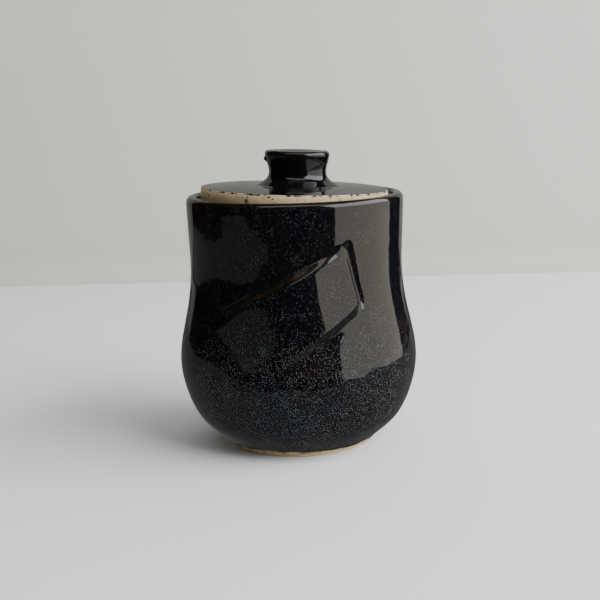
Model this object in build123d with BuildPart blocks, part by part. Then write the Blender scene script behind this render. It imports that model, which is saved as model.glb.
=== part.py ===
from build123d import *
import os

# A lidded stoneware sugar bowl: a thrown jar with a gallery seat, and a flat lid with a
# flared knob.  Millimetres.  +Z is up, the origin is the middle of the foot on the table,
# and -Y is the side that carries the raised diagonal relief.

# ---- driving dimensions -------------------------------------------------------------
belly_radius = 50.0
belly_height = 35.5
waist_radius = 44.4
waist_height = 72.0
rim_radius = 45.1
rim_height = 104.4
neck_height = 100.0     # the wall runs straight up from here to the lip

glaze = 0.5             # thickness of the black glaze on the outside
liner = 0.4             # thickness of the glaze inside the jar and under the lid

foot_radius = 31.3
foot_ring_inner = 25.0
foot_recess = 2.2
foot_flare = 1.7        # how much wider the clay is at the glaze line than at the table
bare_foot = 2.7         # height of unglazed clay above the table
edge_break = 0.6        # small chamfers on bare clay edges

floor_height = 6.5      # inside floor of the jar
inner_belly_radius = 45.0
inner_waist_radius = 39.6
flat_floor_radius = 24.0
mouth_radius = 35.5
mouth_height = 96.0     # the hollow is a straight bore from here up

lip_width = 4.3         # from the outside of the rim to the gallery wall, glaze included
seat_height = 101.0     # the gallery ledge that the lid rests on
rim_glaze_end = 102.2   # the outside glaze rolls over the lip and stops here
liner_top = 97.0

lip_outer_round = (2.1, 2.6)    # width and height of the lip's outer curve
lip_inner_round = (1.0, 1.5)    # and of the sharper curve down into the gallery
skin = 2.0                      # the outer glaze is cut from a skin this thick

lid_radius = 38.7
lid_edge_height = 106.6         # top of the clay at the edge of the lid
knob_seat_height = 107.9        # top of the clay where the knob is luted on
underside_glaze_radius = 34.0

knob_base_radius = 16.5
knob_waist_radius = 11.35
knob_waist_height = 113.3
knob_rim_radius = 12.95
knob_top = 121.7                # top of the clay; the glaze stands above it
knob_dish = 0.9
knob_rim_round = (1.1, 0.9)     # width and height of the knob's rounded rim
knob_offset = 1.5               # the knob was set this far off the lid's centre, towards +X

relief_corners = [(-24.0, 64.5), (18.0, 86.0), (24.5, 64.0), (-12.5, 40.5)]    # from the front
relief_corner_round = 4.0
relief_back = 30.0      # the relief's block starts this far in front of the axis
relief_front = 49.9     # furthest that the relief stands out from the axis
relief_bottom = 42.5    # height of that furthest point
relief_bend = 33.0      # radius of its face, seen from above
relief_lean = 6.0       # its face leans back by this many degrees
relief_edge = 1.3       # rounding of its edges
relief_ridge = 1.0      # its highest line lies this far to the right of the middle

# ---- outlines shared by the clay and by the glaze that covers it ----------------------
inner_lip_radius = rim_radius - lip_width
glaze_line_radius = foot_radius + foot_flare
mid_disc = (seat_height + lid_edge_height) / 2
knob_plane = Plane.XZ.shift_origin((knob_offset, 0, 0))
knob_axis = Axis((knob_offset, 0, 0), (0, 0, 1))


def outer_wall(inset):
    """The outside of the jar from the glaze line to the top of the neck."""
    Spline(
        (glaze_line_radius - inset, bare_foot),
        (36.6 - inset, 5.8),
        (41.2 - inset, 10.0),
        (47.5 - inset, 21.8),
        (belly_radius - inset, belly_height),
        (46.6 - inset, 56.0),
        (waist_radius - inset, waist_height),
        (44.6 - inset, 86.0),
        (rim_radius - inset, neck_height),
    )


def lip(inset, end_height):
    """The rounded lip, from the neck over the top and down the gallery wall."""
    outside = rim_radius - inset
    inside = inner_lip_radius + inset
    top = rim_height - inset
    crown = outside - lip_outer_round[0]
    shoulder = top - lip_outer_round[1]
    inner_crown = inside + lip_inner_round[0]
    inner_shoulder = top - lip_inner_round[1]
    Line((outside, neck_height), (outside, shoulder))
    EllipticalCenterArc((crown, shoulder), *lip_outer_round, start_angle=0, arc_size=90)
    Line((crown, top), (inner_crown, top))
    EllipticalCenterArc((inner_crown, inner_shoulder), *lip_inner_round, start_angle=90, arc_size=90)
    Line((inside, inner_shoulder), (inside, end_height))


def cavity_outline(inset, top):
    """The hollow inside the jar, from the middle of the floor up to the given height."""
    Line((0.0, top), (0.0, floor_height + inset))
    Line((0.0, floor_height + inset), (flat_floor_radius, floor_height + inset))
    Spline(
        (flat_floor_radius, floor_height + inset),
        (38.5 - inset, 17.5),
        (inner_belly_radius - inset, belly_height),
        (41.8 - inset, 56.0),
        (inner_waist_radius - inset, waist_height),
        (mouth_radius - inset, mouth_height),
        tangents=[(1.0, 0.0), (0.0, 1.0)],
    )
    Line((mouth_radius - inset, mouth_height), (mouth_radius - inset, top))
    Line((mouth_radius - inset, top), (0.0, top))


def knob_outline(grow):
    """The knob and its spread foot, from its seat on the lid up to its dished top."""
    rim = knob_rim_radius + grow
    crown = knob_rim_radius - knob_rim_round[0]
    shoulder = knob_top - knob_rim_round[1]
    Spline(
        (knob_base_radius + grow, knob_seat_height),
        (13.2 + grow, knob_seat_height + 2.3),
        (knob_waist_radius + grow, knob_waist_height),
        (rim, shoulder),
        tangents=[(-1.0, 0.25), (0.22, 1.0)],
    )
    EllipticalCenterArc((crown, shoulder), rim - crown, knob_top + grow - shoulder, arc_size=90)
    Spline(
        (crown, knob_top + grow),
        (0.4 * knob_rim_radius, knob_top + grow - 0.85 * knob_dish),
        (0.0, knob_top + grow - knob_dish),
        tangents=[(-1.0, 0.0), (-1.0, 0.0)],
    )


def relief_pad(inset):
    """The raised diagonal pillow on the front, as a block that reaches into the wall."""
    with BuildPart() as pad:
        with BuildSketch(Plane.XZ):
            with BuildLine():
                Polyline(relief_corners, close=True)
            make_face()
            fillet(vertices(), radius=relief_corner_round)
            offset(amount=-inset)
        extrude(amount=belly_radius + relief_edge)
        axis_plane = Plane(
            origin=(relief_ridge, relief_bend - relief_front, relief_bottom),
            x_dir=(1, 0, 0),
            z_dir=(0, 0, 1),
        ).rotated((-relief_lean, 0, 0))
        with BuildSketch(axis_plane):
            Circle(relief_bend - inset)
        extrude(amount=rim_height, both=True, mode=Mode.INTERSECT)
        face = faces().sort_by(Axis.Y)[0]
        fillet(face.edges(), radius=relief_edge)
        split(bisect_by=Plane.XZ.offset(relief_back), keep=Keep.TOP)
    return pad.part


# ---- jar ------------------------------------------------------------------------------
with BuildPart() as jar_body:
    with BuildSketch(Plane.XZ):
        with BuildLine():
            Line((0.0, foot_recess), (foot_ring_inner - 1.5, foot_recess))
            Line((foot_ring_inner - 1.5, foot_recess), (foot_ring_inner, 0.0))
            Line((foot_ring_inner, 0.0), (foot_radius - edge_break, 0.0))
            Line((foot_radius - edge_break, 0.0), (foot_radius, edge_break))
            Line((foot_radius, edge_break), (glaze_line_radius - glaze, bare_foot))
            outer_wall(glaze)
            lip(glaze, seat_height)
            Line((inner_lip_radius + glaze, seat_height), (0.0, seat_height))
            Line((0.0, seat_height), (0.0, foot_recess))
        make_face()
    revolve(axis=Axis.Z)
    add(relief_pad(glaze))
    with BuildSketch(Plane.XZ):
        with BuildLine():
            cavity_outline(0.0, seat_height)
        make_face()
    revolve(axis=Axis.Z, mode=Mode.SUBTRACT)

with BuildPart() as jar_outer_glaze:
    with BuildSketch(Plane.XZ):
        with BuildLine():
            outer_wall(0.0)
            lip(0.0, rim_glaze_end)
            Line((inner_lip_radius, rim_glaze_end), (rim_radius - skin, rim_glaze_end))
            Line((rim_radius - skin, rim_glaze_end), (rim_radius - skin, neck_height))
            outer_wall(skin)
            Line((glaze_line_radius - skin, bare_foot), (glaze_line_radius, bare_foot))
        make_face()
    revolve(axis=Axis.Z)
    add(relief_pad(0.0))
    add(jar_body.part, mode=Mode.SUBTRACT)
    with BuildSketch(Plane.XZ):
        with BuildLine():
            cavity_outline(0.0, seat_height)
        make_face()
    revolve(axis=Axis.Z, mode=Mode.SUBTRACT)

with BuildPart() as jar_liner_glaze:
    with BuildSketch(Plane.XZ):
        with BuildLine():
            cavity_outline(0.0, liner_top)
        make_face()
    revolve(axis=Axis.Z)
    with BuildSketch(Plane.XZ):
        with BuildLine():
            cavity_outline(liner, liner_top)
        make_face()
    revolve(axis=Axis.Z, mode=Mode.SUBTRACT)

# ---- lid ------------------------------------------------------------------------------
with BuildPart() as lid_plate:
    with BuildSketch(Plane.XZ):
        with BuildLine():
            Line((0.0, seat_height), (lid_radius - edge_break, seat_height))
            Line((lid_radius - edge_break, seat_height), (lid_radius, seat_height + edge_break))
            Line((lid_radius, seat_height + edge_break), (lid_radius, lid_edge_height - glaze))
            Line((lid_radius, lid_edge_height - glaze), (lid_radius - glaze, lid_edge_height))
            Spline(
                (lid_radius - glaze, lid_edge_height),
                (knob_base_radius, knob_seat_height),
                tangents=[(-1.0, 0.0), (-1.0, 0.08)],
            )
            Line((knob_base_radius, knob_seat_height), (0.0, knob_seat_height))
            Line((0.0, knob_seat_height), (0.0, seat_height))
        make_face()
    revolve(axis=Axis.Z)

with BuildPart() as lid_knob:
    with BuildSketch(knob_plane):
        with BuildLine():
            Line((0.0, knob_seat_height), (knob_base_radius, knob_seat_height))
            knob_outline(0.0)
            Line((0.0, knob_top - knob_dish), (0.0, knob_seat_height))
        make_face()
    revolve(axis=knob_axis)

with BuildPart() as lid_glaze:
    with BuildSketch(Plane.XZ):
        with BuildLine():
            Line((0.0, mid_disc), (lid_radius - glaze, mid_disc))
            Line((lid_radius - glaze, mid_disc), (lid_radius - glaze, lid_edge_height))
            EllipticalCenterArc(
                (lid_radius - 2 * glaze, lid_edge_height),
                glaze,
                glaze,
                start_angle=0,
                arc_size=90,
            )
            Spline(
                (lid_radius - 2 * glaze, lid_edge_height + glaze),
                (knob_base_radius, knob_seat_height + glaze),
                tangents=[(-1.0, 0.0), (-1.0, 0.08)],
            )
            Line((knob_base_radius, knob_seat_height + glaze), (0.0, knob_seat_height + glaze))
            Line((0.0, knob_seat_height + glaze), (0.0, mid_disc))
        make_face()
    revolve(axis=Axis.Z)
    with BuildSketch(knob_plane):
        with BuildLine():
            Line((0.0, knob_seat_height), (knob_base_radius + glaze, knob_seat_height))
            knob_outline(glaze)
            Line((0.0, knob_top + glaze - knob_dish), (0.0, knob_seat_height))
        make_face()
    revolve(axis=knob_axis)
    add(lid_plate.part, mode=Mode.SUBTRACT)
    add(lid_knob.part, mode=Mode.SUBTRACT)

with BuildPart() as lid_underside_glaze:
    with BuildSketch(Plane.XY.offset(seat_height - liner)):
        Circle(underside_glaze_radius)
    extrude(amount=liner)

# ---- write every piece ----------------------------------------------------------------
pieces = {
    "jar_body": jar_body,
    "jar_outer_glaze": jar_outer_glaze,
    "jar_liner_glaze": jar_liner_glaze,
    "lid_plate": lid_plate,
    "lid_knob": lid_knob,
    "lid_glaze": lid_glaze,
    "lid_underside_glaze": lid_underside_glaze,
}
os.makedirs("parts", exist_ok=True)
for name, piece in pieces.items():
    piece.part.label = name
    export_step(piece.part, f"parts/{name}.step")
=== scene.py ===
import math
import bpy
import bmesh
import numpy as np
from mathutils import Matrix, Vector


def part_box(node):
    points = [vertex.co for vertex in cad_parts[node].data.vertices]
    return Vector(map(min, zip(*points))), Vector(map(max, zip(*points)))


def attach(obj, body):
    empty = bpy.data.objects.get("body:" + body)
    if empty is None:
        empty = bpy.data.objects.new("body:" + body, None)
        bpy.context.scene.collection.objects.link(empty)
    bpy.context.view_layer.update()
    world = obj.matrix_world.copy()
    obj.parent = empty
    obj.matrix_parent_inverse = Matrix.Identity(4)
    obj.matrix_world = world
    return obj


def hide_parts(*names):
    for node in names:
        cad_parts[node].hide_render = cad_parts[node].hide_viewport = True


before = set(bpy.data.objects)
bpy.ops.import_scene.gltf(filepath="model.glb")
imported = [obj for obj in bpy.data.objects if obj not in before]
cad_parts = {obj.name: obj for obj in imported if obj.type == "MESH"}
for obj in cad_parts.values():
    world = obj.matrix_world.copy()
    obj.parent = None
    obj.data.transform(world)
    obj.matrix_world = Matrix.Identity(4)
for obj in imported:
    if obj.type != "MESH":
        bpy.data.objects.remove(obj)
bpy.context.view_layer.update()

# A lidded stoneware sugar bowl. The outlines below are in millimetres, as on a potter's
# drawing, and MM turns them into metres. Azimuth 0 faces -Y and grows towards +X.
MM = 0.001

# ---- sizes --------------------------------------------------------------------------
GLAZE = 0.5                     # thickness of the coat outside and on the lid
LINER = 0.4                     # thickness of the coat inside and under the lid
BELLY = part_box("jar_outer_glaze")[1].x / MM
BARE_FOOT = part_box("jar_outer_glaze")[0].z / MM     # bare clay below this height
RIM_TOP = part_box("jar_outer_glaze")[1].z / MM
RIM_RADIUS = 45.1
NECK = 100.0                    # the lip starts at this height
LIP_INNER = 40.8
LIP_OUTER = (2.1, 2.6)          # width and height of the lip's outer curve
LIP_INNER_ROUND = (1.0, 1.5)    # and of its curve down into the gallery
GLAZE_END = 102.2               # the outside coat stops at this height in the gallery
FLOOR, FLAT_FLOOR = 6.5, 24.0   # height of the floor inside, and radius of its flat middle
MOUTH, MOUTH_FROM = 35.5, 96.0  # the bore below the gallery, and the height it starts at
FOOT_INNER, FOOT_OUTER = 25.3, 30.4     # the foot ring's flat face
FOOT_RECESS = 2.2
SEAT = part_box("lid_plate")[0].z / MM
LID_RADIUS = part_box("lid_plate")[1].x / MM
LID_EDGE = 106.6
KNOB_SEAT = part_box("lid_knob")[0].z / MM
KNOB_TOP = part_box("lid_glaze")[1].z / MM
LID_TILT = math.tan(math.radians(2.4))
KNOB_SHIFT = (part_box("lid_knob")[0].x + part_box("lid_knob")[1].x) / 2 / MM

WALL = [(33.0, BARE_FOOT), (36.6, 5.8), (41.2, 10.0), (47.5, 21.8), (50.0, 35.5), (46.6, 56.0),
        (44.4, 72.0), (44.6, 86.0), (RIM_RADIUS, NECK)]
CAVITY = [(FLAT_FLOOR, FLOOR), (32.5, 10.0), (38.5, 17.5), (45.0, 35.5), (41.8, 56.0), (39.6, 72.0),
          (39.3, 84.0), (MOUTH, MOUTH_FROM)]


# ---- curves -------------------------------------------------------------------------
def spline(points, step):
    """Points about one step apart on the natural cubic spline through the given ones."""
    p = np.array(points, float)
    t = np.concatenate([[0.0], np.cumsum(np.hypot(*np.diff(p, axis=0).T))])
    n, h = len(p), np.diff(t)
    a = np.eye(n)
    b = np.zeros((n, 2))
    for i in range(1, n - 1):
        a[i, i - 1: i + 2] = h[i - 1], 2 * (h[i - 1] + h[i]), h[i]
        b[i] = 6 * ((p[i + 1] - p[i]) / h[i] - (p[i] - p[i - 1]) / h[i - 1])
    m = np.linalg.solve(a, b)
    s = np.linspace(0, t[-1], max(2, int(round(t[-1] / step)) + 1))
    k = np.clip(np.searchsorted(t, s, side="right") - 1, 0, n - 2)
    u, v, w = (s - t[k])[:, None], (t[k + 1] - s)[:, None], h[k][:, None]
    return (m[k] * v ** 3 + m[k + 1] * u ** 3) / (6 * w) + (p[k] / w - m[k] * w / 6) * v \
        + (p[k + 1] / w - m[k + 1] * w / 6) * u


def polyline(points, step):
    """Points about one step apart along straight runs through the given points."""
    out = [np.array(points[0], float)[None]]
    for a, b in zip(points, points[1:]):
        n = max(1, int(round(math.dist(a, b) / step)))
        out.append(np.array(a) + (np.array(b) - np.array(a)) * np.linspace(0, 1, n + 1)[1:, None])
    return np.concatenate(out)


def arc(centre, radius, start, end, steps):
    """Points on a circle or ellipse, between two angles in degrees from the outward direction."""
    t = np.radians(np.linspace(start, end, steps + 1))
    across, up = radius if isinstance(radius, tuple) else (radius, radius)
    return np.stack([centre[0] + across * np.cos(t), centre[1] + up * np.sin(t)], 1)


def join(*runs):
    """One outline from several, without the points that repeat where they meet."""
    p = np.concatenate(runs)
    keep = np.concatenate([[True], np.hypot(*np.diff(p, axis=0).T) > 1e-4])
    return p[keep]


def smoothstep(x):
    x = np.clip(x, 0, 1)
    return x * x * (3 - 2 * x)


def soft_min(a, b, width):
    """The smaller of two surfaces, with the ridge between them rounded over."""
    h = np.clip(width - np.abs(a - b), 0, None)
    return np.minimum(a, b) - h * h / (4 * width)


def soft_clip(x, width):
    """From 0 to 1 in a straight ramp with rounded ends."""
    return soft_min(-soft_min(-x, 0 * x, width), 0 * x + 1, width)


wall_line = spline(WALL, 0.1)


def wall_radius(z):
    """Radius of the plain wall at this height, without the relief."""
    return np.interp(z, wall_line[:, 1], wall_line[:, 0])


def wobble(azimuth, seed, waves):
    """A smooth random wave round the bowl, between about -1 and 1."""
    rng = np.random.default_rng(seed)
    total = np.zeros_like(azimuth)
    for k in range(2, 2 + waves):
        size = rng.uniform(0.4, 1.0) / k ** 0.5
        total = total + size * np.sin(k * azimuth + rng.uniform(0, 2 * math.pi))
    return total / 1.6


# ---- the raised relief on the front -------------------------------------------------
ARC_RADIUS = 46.0           # distances along the wall are measured at this radius
TOP_LEFT = (-41.0, 57.0)    # corners of the relief: along the wall, and height
TOP_RIGHT = (20.5, 87.8)
LOW_RIGHT = (27.5, 62.0)
LOW_LEFT = (-24.0, 28.0)
RIGHT_FACET = 24.5          # the two facets face this many degrees right and left
LEFT_FACET = 24.5
RIGHT_FACE = (60.0, 47.45, -0.15, 0.002)   # a height, the radius there, and how it changes upwards
LEFT_FACE = (50.0, 48.05, -0.038, 0.0)
RIDGE_WIDTH = 2.6           # how widely the ridge between the facets is rounded
TOP_SLOPE, RIGHT_SLOPE, LOW_SLOPE, LEFT_SLOPE = 2.3, 2.0, 3.0, 9.0      # widths of its edges
TOP_GROOVE = 0.3            # depths of the groove along the top, and of the gutters pressed in
RIGHT_GUTTER = 0.9          # beside the right edge and below the lower one
LOW_GUTTER = 0.6
FRONT_LIMIT = BELLY - 0.1   # the ridge between the facets stands no further out than the belly,
FRONT_FROM = 50.0           # and above this height leans back by this much for each millimetre
FRONT_LEAN = 0.05
REACH = 1.2                 # the relief ends within this azimuth, in radians, on either side


def inside(s, z, start, end):
    """Distance to the right of the line from start to end, in millimetres."""
    dx, dz = end[0] - start[0], end[1] - start[1]
    return ((s - start[0]) * dz - (z - start[1]) * dx) / math.hypot(dx, dz)


def relief_edges(azimuth, z):
    """Distances inside the relief's four edges: top, right, lower and left."""
    s = azimuth * ARC_RADIUS
    corners = [TOP_LEFT, TOP_RIGHT, LOW_RIGHT, LOW_LEFT, TOP_LEFT]
    return [inside(s, z, start, end) for start, end in zip(corners, corners[1:])]


def facet(azimuth, z, facing, face):
    """Height over the wall of a flat that is round again beyond the way it faces."""
    height, radius, slope, bow = face
    turned_away = np.clip((azimuth + facing) if facing > 0 else -(azimuth + facing), 0, None)
    up = z - height
    return (radius + slope * up + bow * up * up) / np.cos(turned_away) - wall_radius(z)


def relief(azimuth, z):
    """How far the wall stands out at this azimuth and height, in millimetres."""
    near = np.clip(azimuth, -REACH, REACH)
    to_right = facet(near, z, -math.radians(RIGHT_FACET), RIGHT_FACE)
    to_left = facet(near, z, math.radians(LEFT_FACET), LEFT_FACE)
    front = FRONT_LIMIT - FRONT_LEAN * np.clip(z - FRONT_FROM, 0, None)
    limit = front / np.cos(near) - wall_radius(z)
    height = soft_min(soft_min(to_right, to_left, 0.4), limit, RIDGE_WIDTH)
    top, right, low, left = relief_edges(near, z)
    upper = soft_min(top / TOP_SLOPE, right / RIGHT_SLOPE, 4.0)
    lower = soft_min(low / LOW_SLOPE, left / LEFT_SLOPE, 1.5)
    edge = soft_clip(soft_min(upper, lower, 2.2), 0.35)
    along_top = smoothstep((right - 1) / 4) * smoothstep((left - 5) / 9)
    along_right = smoothstep((top + 1) / 4) * smoothstep((low + 2) / 6)
    along_low = smoothstep((left - 6) / 14) * smoothstep((right - 10) / 10)
    groove = TOP_GROOVE * np.exp(-((top + 0.1) / 0.6) ** 2) * along_top
    beside = RIGHT_GUTTER * np.exp(-((right + 0.3) / 1.6) ** 2) * along_right
    below = LOW_GUTTER * np.exp(-((low + 0.5) / 1.8) ** 2) * along_low
    return np.where(np.abs(azimuth) < REACH, height * edge - groove - beside - below, 0)


# ---- mesh making --------------------------------------------------------------------
FRONT_SPAN = math.radians(48.0)     # the meshes are finer this far round to either side


def columns(front_step, back_step):
    """Azimuths round the bowl, closer together across the front."""
    end = 2 * math.pi - FRONT_SPAN
    front = np.linspace(-FRONT_SPAN, FRONT_SPAN, int(round(2 * FRONT_SPAN * ARC_RADIUS / front_step)) + 1)
    back = np.linspace(FRONT_SPAN, end, int(round((end - FRONT_SPAN) * ARC_RADIUS / back_step)) + 1)
    return np.concatenate([front, back[1:-1]])


def turned(name, outline, azimuths, shape=None, thin=None):
    """A closed body turned from an outline of (radius, height) points.

    An outline that starts and ends on the axis closes there; any other is a loop.
    shape moves the points, given radius, azimuth and height. thin gives each point the value
    of the attribute of that name, which the materials read.
    """
    outline = np.array(outline, float)
    on_axis = outline[0, 0] < 1e-6
    rings = outline[1:-1] if on_axis else outline
    n, m = len(rings), len(azimuths)
    radius = np.repeat(rings[:, 0:1], m, 1)
    height = np.repeat(rings[:, 1:2], m, 1)
    azimuth = np.repeat((azimuths[None, :] + math.pi) % (2 * math.pi) - math.pi, n, 0)
    if shape:
        radius, height = shape(radius, azimuth, height)
    grid = np.stack([radius * np.sin(azimuth), -radius * np.cos(azimuth), height], 2).reshape(-1, 3)
    marks = np.zeros((n, m)) if thin is None else thin(radius, azimuth, height)
    marks = marks.reshape(-1)
    index = np.arange(n * m).reshape(n, m)
    if on_axis:
        low, high = index[:-1], index[1:]
    else:
        low, high = index, np.roll(index, -1, 0)
    quads = np.stack([low, np.roll(low, -1, 1), np.roll(high, -1, 1), high], 2).reshape(-1, 4)
    faces = quads.tolist()
    if on_axis:
        ends = np.array([[0, 0, outline[0, 1]], [0, 0, outline[-1, 1]]])
        if shape:
            r, z = shape(np.zeros(2), np.zeros(2), ends[:, 2])
            ends[:, 2] = z
        grid = np.concatenate([grid, ends])
        marks = np.concatenate([marks, [0, 0]])
        first, last = n * m, n * m + 1
        faces += [[first, b, a] for a, b in zip(index[0], np.roll(index[0], -1))]
        faces += [[a, b, last] for a, b in zip(index[-1], np.roll(index[-1], -1))]
    mesh = bpy.data.meshes.new(name)
    mesh.from_pydata((grid * MM).tolist(), [], faces)
    mesh.polygons.foreach_set("use_smooth", [True] * len(faces))
    attribute = mesh.attributes.new("thin", "FLOAT", "POINT")
    attribute.data.foreach_set("value", marks.astype(np.float32))
    tidy = bmesh.new()
    tidy.from_mesh(mesh)
    bmesh.ops.recalc_face_normals(tidy, faces=tidy.faces)
    tidy.to_mesh(mesh)
    tidy.free()
    piece = bpy.data.objects.new(name, mesh)
    bpy.context.scene.collection.objects.link(piece)
    return piece


# ---- node materials -----------------------------------------------------------------
class Nodes:
    """A few short ways to lay out a material's nodes."""

    def __init__(self, name):
        self.material = bpy.data.materials.new(name)
        self.material.use_nodes = True
        self.tree = self.material.node_tree
        self.tree.nodes.clear()
        self.out = self.tree.nodes.new("ShaderNodeOutputMaterial")
        self.place = self.tree.nodes.new("ShaderNodeTexCoord").outputs["Object"]

    def add(self, kind, inputs=(), **settings):
        node = self.tree.nodes.new(kind)
        for key, value in settings.items():
            setattr(node, key, value)
        for key, value in dict(inputs).items():
            if isinstance(value, bpy.types.NodeSocket):
                self.tree.links.new(value, node.inputs[key])
            else:
                node.inputs[key].default_value = value
        return node

    def noise(self, scale, detail=2.0, rough=0.5, vector=None):
        inputs = {"Vector": vector or self.place, "Scale": scale, "Detail": detail, "Roughness": rough}
        return self.add("ShaderNodeTexNoise", inputs).outputs["Fac"]

    def math(self, operation, a, b=0.0, clamp=False):
        return self.add("ShaderNodeMath", {0: a, 1: b}, operation=operation, use_clamp=clamp).outputs[0]

    def ramp(self, value, low, high, to_low=0.0, to_high=1.0):
        inputs = {"Value": value, "From Min": low, "From Max": high, "To Min": to_low, "To Max": to_high}
        node = self.add("ShaderNodeMapRange", inputs, interpolation_type="SMOOTHSTEP")
        return node.outputs["Result"]

    def mix(self, factor, a, b):
        node = self.add("ShaderNodeMix", data_type="RGBA")
        for socket, value in ((0, factor), (6, a), (7, b)):
            if isinstance(value, bpy.types.NodeSocket):
                self.tree.links.new(value, node.inputs[socket])
            else:
                node.inputs[socket].default_value = value if socket == 0 else (*value, 1.0)
        return node.outputs[2]

    def attribute(self, name):
        return self.add("ShaderNodeAttribute", attribute_name=name).outputs["Fac"]

    def bump(self, height, strength, distance, normal=None):
        inputs = {"Height": height, "Strength": strength, "Distance": distance}
        if normal:
            inputs["Normal"] = normal
        return self.add("ShaderNodeBump", inputs).outputs["Normal"]

    def surface(self, **inputs):
        shader = self.add("ShaderNodeBsdfPrincipled", {k.replace("_", " "): v for k, v in inputs.items()})
        self.tree.links.new(shader.outputs["BSDF"], self.out.inputs["Surface"])
        return self.material


def specks(n, scale, share, size, channel, fewer=0.0):
    """Round spots in a random share of Voronoi cells. fewer leaves out that part of the share."""
    cells = n.add("ShaderNodeTexVoronoi", {"Vector": n.place, "Scale": scale, "Randomness": 1.0})
    lot = n.add("ShaderNodeSeparateColor", {"Color": cells.outputs["Color"]}).outputs[channel]
    lot = n.math("SUBTRACT", lot, n.math("MULTIPLY", fewer, share))
    chosen = n.ramp(lot, 1 - share, 1.02 - share)
    return n.math("MULTIPLY", chosen, n.ramp(cells.outputs["Distance"], size, 1.6 * size, 1.0, 0.0))


CRYSTAL_SHARE = 0.62                    # part of the cells that hold a crystal, low on the wall
CRYSTALS_FADE_AND_SHADE = (0.025, 0.075)          # heights in metres between which crystals grow dimmer: partly a fading of the crystals themselves, partly painted shade for the upper wall, which the floor lights less
CRYSTALS_THIN = (0.022, 0.070)          # and between which they grow fewer


def crystal_field(n, fewer):
    """Fine pale crystals: two sizes of dots, gathered in loose drifts."""
    coarse = specks(n, 1450.0, CRYSTAL_SHARE, 0.25, 0, fewer)
    fine = specks(n, 2100.0, CRYSTAL_SHARE, 0.26, 1, fewer)
    dots = n.math("MAXIMUM", coarse, n.math("MULTIPLY", fine, 0.7))
    drift = n.ramp(n.noise(170.0, 3.0, 0.6), 0.34, 0.62, 0.50, 1.0)
    return n.math("MULTIPLY", dots, drift)


def black_glaze(name, crystals=1.0, warmth=1.0):
    """Near-black glaze, full of fine pale crystals, breaking to brown where it is thin."""
    n = Nodes(name)
    thin = n.attribute("thin")
    calm = n.math("SUBTRACT", 1.0, n.math("MULTIPLY", thin, 1.2), True)
    field = n.ramp(n.noise(75.0, 3.0, 0.6), 0.30, 0.68, 0.65, 1.0)
    up = n.add("ShaderNodeSeparateXYZ", {"Vector": n.place}).outputs["Z"]
    # crystals painted dimmer higher up: partly their own fading, partly painted shade where the floor lights
    # the wall less
    fade_and_painted_shade = n.ramp(up, *CRYSTALS_FADE_AND_SHADE, 1.0, 0.40)
    fewer = n.ramp(up, *CRYSTALS_THIN, 0.0, 0.60)
    dots = crystal_field(n, fewer)
    strength = n.math("MULTIPLY", n.math("MULTIPLY", field, fade_and_painted_shade), calm)
    mask = n.math("MULTIPLY", n.math("MULTIPLY", dots, strength), crystals, True)
    cloud = n.ramp(n.noise(38.0, 3.0, 0.55), 0.42, 0.74)
    ground = n.mix(cloud, (0.0032, 0.0034, 0.0042), (0.0085, 0.0056, 0.0045))
    pale = n.mix(n.noise(300.0, 1.0), (0.070, 0.083, 0.098), (0.122, 0.136, 0.150))
    coloured = n.mix(mask, ground, pale)
    streak = n.ramp(n.noise(210.0, 3.0, 0.6), 0.32, 0.70, 0.25, 1.0)
    brown = n.mix(n.noise(90.0, 2.0), (0.022, 0.016, 0.005), (0.060, 0.042, 0.016))
    broke = n.math("MULTIPLY", n.math("MULTIPLY", thin, streak), warmth, True)
    colour = n.mix(broke, coloured, brown)
    worn = n.math("MULTIPLY", n.ramp(thin, 0.70, 0.95), n.ramp(n.noise(380.0, 3.0, 0.65), 0.40, 0.55))
    colour = n.mix(worn, colour, (0.52, 0.45, 0.32))
    swell = n.bump(n.noise(34.0, 2.0, 0.5), 0.5, 0.0006)
    rings = n.add("ShaderNodeMapping", {"Vector": n.place, "Scale": (1.0, 1.0, 9.0)}).outputs[0]
    swell = n.bump(n.noise(16.0, 2.0, 0.5, vector=rings), 0.35, 0.00012, swell)
    dimple = n.bump(n.noise(120.0, 2.0, 0.55), 0.45, 0.0002, swell)
    raised = n.bump(mask, 0.2, 0.00001, dimple)
    rough = n.ramp(mask, 0.0, 1.0, 0.06, 0.26)
    return n.surface(Base_Color=colour, Roughness=rough, IOR=1.70, Normal=raised)


def stoneware(name):
    """Bare buff clay with iron specks and a fine sandy tooth."""
    n = Nodes(name)
    mottle = n.noise(70.0, 4.0, 0.6)
    buff = n.mix(mottle, (0.50, 0.37, 0.19), (0.70, 0.58, 0.37))
    grit = n.ramp(n.noise(1100.0, 2.0, 0.6), 0.50, 0.70)
    buff = n.mix(n.math("MULTIPLY", grit, 0.35), buff, (0.34, 0.23, 0.11))
    stain = n.ramp(n.noise(260.0, 3.0, 0.65), 0.58, 0.72, 0.0, 0.5)
    buff = n.mix(stain, buff, (0.25, 0.14, 0.055))
    big = specks(n, 230.0, 0.30, 0.16, 0)
    small = specks(n, 640.0, 0.16, 0.22, 1)
    colour = n.mix(n.math("MAXIMUM", big, n.math("MULTIPLY", small, 0.8)), buff, (0.022, 0.011, 0.005))
    beside = n.math("MULTIPLY", n.attribute("thin"), n.ramp(n.noise(330.0, 4.0, 0.7), 0.47, 0.56))
    colour = n.mix(beside, colour, (0.045, 0.024, 0.010))
    rough = n.ramp(mottle, 0.3, 0.7, 0.66, 0.86)
    tooth = n.bump(n.noise(1500.0, 3.0, 0.65), 0.45, 0.00012)
    pits = n.bump(n.ramp(n.noise(700.0, 1.0), 0.30, 0.42), 0.4, 0.0001, tooth)
    return n.surface(Base_Color=colour, Roughness=rough, Normal=pits)


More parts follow.
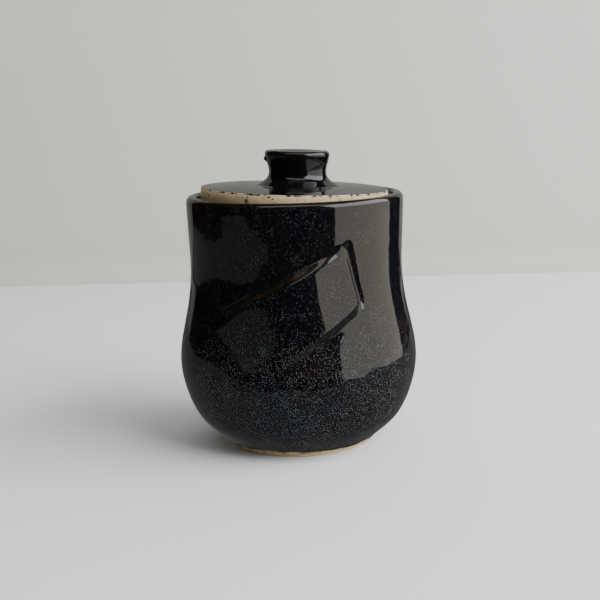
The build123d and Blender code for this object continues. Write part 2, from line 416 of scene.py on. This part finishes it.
# ---- the jar ------------------------------------------------------------------------
def lip_outline(inset, end):
    """Over the rounded lip and down the gallery wall, as in the CAD outline."""
    top = RIM_TOP - inset
    outside, within = RIM_RADIUS - inset, LIP_INNER + inset
    outer = arc((outside - LIP_OUTER[0], top - LIP_OUTER[1]), LIP_OUTER, 0, 90, 14)
    inner = arc((within + LIP_INNER_ROUND[0], top - LIP_INNER_ROUND[1]), LIP_INNER_ROUND, 90, 180, 10)
    return join(outer, inner, polyline([(within, top - LIP_INNER_ROUND[1]), (within, end)], 0.5))


FRONT_ROWS = (34, 91)           # the relief lies between these heights
PLAIN_STEP = 0.9                # the rows' step below and above it
WALL_SKIN = 1.6                 # what lies this close under the wall's face moves with it


def wall_rows(inset, front_step):
    """The wall's outline up to the neck, with its own step between rows across the relief."""
    low = np.arange(BARE_FOOT, FRONT_ROWS[0], PLAIN_STEP)
    front = np.arange(*FRONT_ROWS, front_step)
    high = np.arange(FRONT_ROWS[1], NECK, PLAIN_STEP)
    z = np.concatenate([low, front, high, [NECK]])
    return np.stack([wall_radius(z) - inset, z], 1)


def foot_line(azimuth):
    """How far the lower edge of the glaze wanders up or down."""
    return 0.28 * wobble(azimuth, 3, 9) + 0.12 * wobble(azimuth * 3, 4, 6)


def jar_shape(radius, azimuth, height):
    """Glaze and clay alike: the relief and the slight unevenness of a thrown wall."""
    outer = radius > wall_radius(np.clip(height, BARE_FOOT, NECK)) - WALL_SKIN
    on_wall = outer & (height < NECK)
    low = np.clip(1 - (height - BARE_FOOT) / 7, 0, 1)
    moved = height + np.where(on_wall, foot_line(azimuth) * low ** 1.5, 0)
    offset = radius - wall_radius(height)
    new_radius = np.where(on_wall, wall_radius(moved) + offset, radius)
    new_radius = new_radius + np.where(on_wall, relief(azimuth, moved), 0)
    uneven = 0.10 * wobble(azimuth, 11, 3) - 0.12
    new_radius = new_radius + np.where(height > BARE_FOOT + 2, uneven * np.clip((height - 5) / 12, 0, 1), 0)
    lip = np.clip((height - 96) / 6, 0, 1)
    dip = 0.13 * (wobble(azimuth, 7, 3) - 1.0) - 0.15 * (1 + np.cos(azimuth))
    return new_radius, moved + lip * dip


def jar_thin(radius, azimuth, height):
    """How thin the glaze is, from 0 to 1: on the lip, at the foot and along the relief's top."""
    top, right, low, left = relief_edges(azimuth, height)
    along_top = smoothstep((left - 6) / 8) * smoothstep((right - 4) / 12)
    crest = 0.65 * np.exp(-((top - 1.2) / 0.85) ** 2) * along_top
    lip = smoothstep((height - RIM_TOP + 2.6) / 2.2) * 0.35
    edge = smoothstep((BARE_FOOT + 0.9 - height) / 0.8) * 0.5
    near = np.abs(azimuth) < math.radians(60)
    return np.clip(np.where(near, crest, 0) + lip + edge, 0, 1)


def clay_flecks(radius, azimuth, height):
    """Burnt flecks in the clay, close under the glaze line at the foot."""
    return np.exp(-((height - BARE_FOOT) / 1.3) ** 2) * (radius > 30)


def jar_outer_glaze():
    """The coat from the foot up the wall, over the lip and into the gallery."""
    outside = wall_rows(0.0, 0.42)
    low_edge = arc((outside[0, 0] - GLAZE / 2, BARE_FOOT), GLAZE / 2, -170, -10, 5)
    lip_end = arc((LIP_INNER + GLAZE / 2, GLAZE_END), GLAZE / 2, 190, 350, 5)
    lip_face, lip_back = (lip_outline(inset, GLAZE_END + 0.1) for inset in (0.0, GLAZE))
    back = wall_rows(GLAZE, 1.1)[::-1]
    outline = join(outside, lip_face, lip_end, lip_back[::-1], back, low_edge)
    return turned("jar_glaze_coat", outline, columns(0.42, 1.6), jar_shape, jar_thin)


def jar_clay():
    """The thrown body: foot ring, wall, lip, gallery and hollow, as one outline."""
    foot = join(
        polyline([(0.0, FOOT_RECESS), (22.6, FOOT_RECESS)], 4.0),
        arc((22.6, FOOT_RECESS - 1.5), 1.5, 90, 20, 6),
        arc((FOOT_INNER, 0.9), 0.9, 210, 270, 5),
        polyline([(FOOT_INNER, 0.0), (FOOT_OUTER, 0.0)], 1.2),
        arc((FOOT_OUTER, 0.8), 0.8, -90, -8, 6),
        spline([(31.25, 0.9), (31.8, 1.7), (33.0 - GLAZE, BARE_FOOT)], 0.3),
    )
    outside = wall_rows(GLAZE, 1.0)
    gallery = join(
        lip_outline(GLAZE, SEAT + 0.6),
        arc((LIP_INNER + GLAZE - 0.6, SEAT + 0.6), 0.6, 0, -90, 4),
        polyline([(LIP_INNER + GLAZE - 0.6, SEAT), (MOUTH + 0.8, SEAT)], 1.0),
        arc((MOUTH + 0.8, SEAT - 0.8), 0.8, 90, 180, 5),
    )
    cavity = join(
        polyline([(MOUTH, SEAT - 0.8), (MOUTH, MOUTH_FROM)], 1.0),
        spline(CAVITY, 1.2)[::-1],
        polyline([(FLAT_FLOOR, FLOOR), (0.0, FLOOR)], 4.0),
    )
    outline = join(foot, outside, gallery, cavity)
    return turned("jar_clay_body", outline, columns(0.8, 2.0), jar_shape, clay_flecks)


def jar_liner():
    """The coat over the hollow, up to where the bore starts."""
    inside_line = join(polyline([(0.0, FLOOR), (FLAT_FLOOR, FLOOR)], 4.0), spline(CAVITY, 1.2))
    inside_line = inside_line[inside_line[:, 1] < MOUTH_FROM - 0.1]
    direction = np.gradient(inside_line, axis=0)
    direction /= np.hypot(*direction.T)[:, None]
    face = inside_line + np.stack([-direction[:, 1], direction[:, 0]], 1) * LINER
    face[0] = (0.0, FLOOR + LINER)
    edge = (inside_line[-1] + face[-1]) / 2 + np.array([0.0, LINER * 0.6])
    return turned("jar_liner_coat", join(inside_line, edge[None], face[::-1]), columns(1.6, 1.6))


# ---- the lid ------------------------------------------------------------------------
KNOB = [(16.9, 108.05), (14.4, 109.55), (12.55, 111.1), (11.85, 113.3), (12.1, 115.6),
        (12.85, 118.4), (13.35, 120.6)]
KNOB_RIM = (1.4, 1.55)          # width and height of the curve over its rim
LID_DROP = 0.55                 # how far the lid's top lies below its CAD height, before the tilt
PLATE_TOP = [(38.1, 106.6), (34.0, 106.85), (28.0, 107.2), (22.0, 107.55), (16.5, KNOB_SEAT)]
BEAD_AZIMUTH, BEAD_HEIGHT, BEAD_RADIUS = math.radians(-84), 118.6, 0.75


def lid_shape(radius, azimuth, height):
    """The lid's top drops towards +X and takes the knob along. A bead stands on the knob's side."""
    weight = smoothstep((height - SEAT - 0.6) / 3.5)
    x = radius * np.sin(azimuth)
    uneven = 0.16 * wobble(azimuth, 21, 6) * np.clip(radius / LID_RADIUS, 0, 1) ** 4
    lumps = np.where(height > 110, 0.012 * wobble(azimuth, 5, 3), 0)
    across = (azimuth - BEAD_AZIMUTH) * 13.0 / BEAD_RADIUS
    drip = np.exp(-across ** 2 - ((height - BEAD_HEIGHT) / (1.3 * BEAD_RADIUS)) ** 2)
    return radius * (1 + lumps) + drip * (radius > 11), height - weight * (x * LID_TILT + LID_DROP - uneven)


def set_off_centre(piece):
    """Slide the middle of the lid sideways, to where the knob was set."""
    for vertex in piece.data.vertices:
        x, y, z = vertex.co / MM
        weight = float(smoothstep((27.0 - math.hypot(x, y)) / 9.0))
        vertex.co.x += KNOB_SHIFT * weight * MM
    return piece


def knob_outline(inset):
    """From the knob's spread foot up over its rim to the middle of its dished top."""
    crown = KNOB_TOP - inset
    edge, shoulder = KNOB[-1][0] - KNOB_RIM[0], KNOB[-1][1]
    return join(
        spline([(r - inset, z) for r, z in KNOB], 0.4),
        arc((edge, shoulder), (KNOB_RIM[0] - inset, crown - shoulder), 0, 90, 8),
        spline([(edge, crown), (9.0, crown - 0.25), (4.0, crown - 0.75), (0.0, crown - 0.85)], 0.8),
    )


def lid_clay():
    """The bare disc, its edges broken."""
    outline = join(
        polyline([(0.0, SEAT), (LID_RADIUS - 0.9, SEAT)], 3.0),
        arc((LID_RADIUS - 0.9, SEAT + 0.9), 0.9, -90, 0, 5),
        polyline([(LID_RADIUS, SEAT + 0.9), (LID_RADIUS, LID_EDGE - 0.6)], 0.5),
        arc((LID_RADIUS - 0.6, LID_EDGE - 0.6), 0.6, 0, 90, 6),
        spline(PLATE_TOP, 1.5),
        polyline([(16.5, KNOB_SEAT), (0.0, KNOB_SEAT)], 3.0),
    )
    return turned("lid_clay_disc", outline, columns(0.8, 1.0), lid_shape)


def knob_clay():
    """The knob's clay, under the coat."""
    outline = join(polyline([(0.0, KNOB_SEAT), (KNOB[0][0] - GLAZE, KNOB_SEAT)], 3.0), knob_outline(GLAZE))
    return set_off_centre(turned("knob_clay_core", outline, columns(1.2, 1.2), lid_shape))


def lid_coat():
    """One coat over the disc's top and the knob, down to just over the disc's edge."""
    outline = join(
        knob_outline(GLAZE)[::-1],
        spline([(r, z - 0.2) for r, z in PLATE_TOP[::-1]], 1.5),
        arc((LID_RADIUS - 0.58, LID_EDGE), 0.46, -60, 60, 6),
        spline([(37.9, 107.1), (34.0, 107.33), (28.0, 107.68), (22.0, 107.95), (19.2, 108.0)], 0.7),
        knob_outline(0.0),
    )
    return set_off_centre(turned("lid_glaze_coat", outline, columns(0.6, 0.9), lid_shape, lid_thin))


def lid_thin(radius, azimuth, height):
    """How thin the lid's glaze is, from 0 to 1: at the disc's edge and round the knob's rim."""
    edge = smoothstep((radius - LID_RADIUS + 1.1) / 0.8)
    rim = np.exp(-((height - KNOB_TOP + 1.0) / 0.7) ** 2) * (radius < 14) * (radius > 11.5)
    return np.clip(edge + 0.3 * rim, 0, 1)


def lid_liner():
    """The thin coat under the lid, inside the ring that rests on the gallery."""
    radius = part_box("lid_underside_glaze")[1].x / MM
    outline = join(
        polyline([(0.0, SEAT - LINER), (radius - 0.4, SEAT - LINER)], 2.0),
        arc((radius - 0.4, SEAT - LINER / 2), LINER / 2, -90, 90, 6),
        polyline([(radius - 0.4, SEAT), (0.0, SEAT)], 2.0),
    )
    return turned("lid_liner_coat", outline, columns(1.2, 1.2))


# ---- put the pieces on their bodies -------------------------------------------------
glaze = black_glaze("black_glaze")
lid_black = black_glaze("lid_black_glaze", crystals=0.22, warmth=0.6)
liner_glaze = black_glaze("liner_glaze", crystals=0.8)
clay = stoneware("stoneware")

PIECES = [
    (jar_outer_glaze, "jar", "jar_outer_glaze", "black_glaze", glaze),
    (jar_clay, "jar", "jar_body", "stoneware", clay),
    (jar_liner, "jar", "jar_liner_glaze", "liner_glaze", liner_glaze),
    (lid_clay, "lid", "lid_plate", "stoneware", clay),
    (knob_clay, "lid", "lid_knob", "stoneware", clay),
    (lid_coat, "lid", "lid_glaze", "black_glaze", lid_black),
    (lid_liner, "lid", "lid_underside_glaze", "liner_glaze", liner_glaze),
]
for make, body, node, slot_name, material in PIECES:
    piece = make()
    piece.data.materials.append(material)
    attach(piece, body)
    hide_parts(node)


# ---- floor, light and camera --------------------------------------------------------
def flat_material(name, colour):
    """Plain matt paint."""
    return Nodes(name).surface(Base_Color=(*colour, 1.0), Roughness=0.9)


def sheet(name, corners, material):
    """A flat stage piece through the given corners."""
    mesh = bpy.data.meshes.new(name)
    mesh.from_pydata(corners, [], [list(range(len(corners)))])
    mesh.materials.append(material)
    obj = bpy.data.objects.new(name, mesh)
    bpy.context.scene.collection.objects.link(obj)
    return obj


def ring(radius, count=96):
    """Corners of a round sheet at floor height."""
    turns = np.linspace(0, 2 * math.pi, count, endpoint=False)
    return [(radius * math.cos(a), radius * math.sin(a), 0.0) for a in turns]


def cove(distance, height, bend, half_width):
    """A pale backdrop behind the bowl that curves up from the floor."""
    profile = [(distance - bend + bend * math.sin(t), bend - bend * math.cos(t))
               for t in np.linspace(0, math.pi / 2, 13)] + [(distance, height)]
    mesh = bpy.data.meshes.new("backdrop")
    points = [(x, y, z) for y, z in profile for x in (-half_width, half_width)]
    faces = [(2 * i, 2 * i + 1, 2 * i + 3, 2 * i + 2) for i in range(len(profile) - 1)]
    mesh.from_pydata(points, [], faces)
    mesh.polygons.foreach_set("use_smooth", [True] * len(faces))
    mesh.materials.append(flat_material("backdrop_paint", (0.62, 0.62, 0.58)))
    obj = bpy.data.objects.new("backdrop", mesh)
    bpy.context.scene.collection.objects.link(obj)
    return obj


def only_mirrored(card):
    """Let a card be seen in the glaze and nowhere else."""
    card.visible_camera = False
    card.visible_diffuse = False
    card.visible_shadow = False


# The glaze mirrors plain white rectangles just under the floor, (x0, y0, x1, y1) in metres, in
# place of the whole floor, and a plain grey one in place of the backdrop.
CARDS = [(-0.55, -0.112, 0.31, 0.42), (-0.60, -0.38, -0.20, -0.112)]
CARD_HEIGHT = -0.0002
BACK_CARD = (-0.45, 0.34, 0.42, 0.5)        # the grey one's two sides, its distance and its top

floor_paint = flat_material("floor_paint", (0.86, 0.87, 0.89))
floor = sheet("floor", ring(4.0), floor_paint)
floor.visible_glossy = False
card_paint = flat_material("card_paint", (0.93, 0.95, 0.98))
for number, (x0, y0, x1, y1) in enumerate(CARDS, 1):
    corners = [(x, y, CARD_HEIGHT) for x, y in ((x0, y0), (x1, y0), (x1, y1), (x0, y1))]
    only_mirrored(sheet(f"floor_card_{number}", corners, card_paint))
backdrop = cove(distance=0.43, height=1.1, bend=0.02, half_width=1.6)
backdrop.visible_glossy = False
x0, x1, y, top = BACK_CARD
corners = [(x0, y, 0), (x1, y, 0), (x1, y, top), (x0, y, top)]
only_mirrored(sheet("back_card", corners, flat_material("back_card_paint", (0.20, 0.20, 0.19))))


def area_light(name, azimuth, elevation, distance, size, radiance, colour):
    """A soft light that faces the bowl from a direction: azimuth 0 is -Y, 90 is +X."""
    a, e = math.radians(azimuth), math.radians(elevation)
    aim = Vector((0, 0, 0.06))
    place = aim + distance * Vector((math.sin(a) * math.cos(e), -math.cos(a) * math.cos(e), math.sin(e)))
    data = bpy.data.lights.new(name, "AREA")
    data.shape = "RECTANGLE"
    data.size, data.size_y = size
    data.energy = radiance * math.pi * size[0] * size[1]
    data.color = colour
    lamp = bpy.data.objects.new(name, data)
    lamp.matrix_world = Matrix.Translation(place) @ (place - aim).to_track_quat("Z", "Y").to_matrix().to_4x4()
    bpy.context.scene.collection.objects.link(lamp)
    return lamp


area_light("softbox_side", 79, -1, 1.25, (1.95, 0.66), 1.15, (1.0, 0.94, 0.80))
area_light("softbox_high", 79, 34, 1.35, (2.1, 0.9), 3.2, (0.95, 0.97, 1.0))
area_light("softbox_top", 5, 62, 1.2, (1.5, 0.45), 1.1, (0.97, 0.98, 1.0))
key = area_light("key", 62, 36, 1.5, (1.5, 1.0), 6.9, (1.0, 0.98, 0.96))
key.visible_glossy = False

world = bpy.data.worlds.new("studio")
world.use_nodes = True
world.node_tree.nodes["Background"].inputs["Color"].default_value = (1.0, 0.98, 0.95, 1.0)
world.node_tree.nodes["Background"].inputs["Strength"].default_value = 0.13
world.cycles_visibility.glossy = False
bpy.context.scene.world = world

CAMERA_PLACE = (0.00116, -0.4577, 0.1437)
CAMERA_DOWN, CAMERA_ROLL = 10.5, -1.46      # degrees
camera_data = bpy.data.cameras.new("camera")
camera_data.sensor_width = 36.0
camera_data.lens = 66.06
camera = bpy.data.objects.new("camera", camera_data)
tip, roll = math.radians(90 - CAMERA_DOWN), math.radians(CAMERA_ROLL)
camera.matrix_world = (Matrix.Translation(CAMERA_PLACE)
                       @ Matrix.Rotation(tip, 4, "X") @ Matrix.Rotation(roll, 4, "Z"))
bpy.context.scene.collection.objects.link(camera)
bpy.context.scene.camera = camera
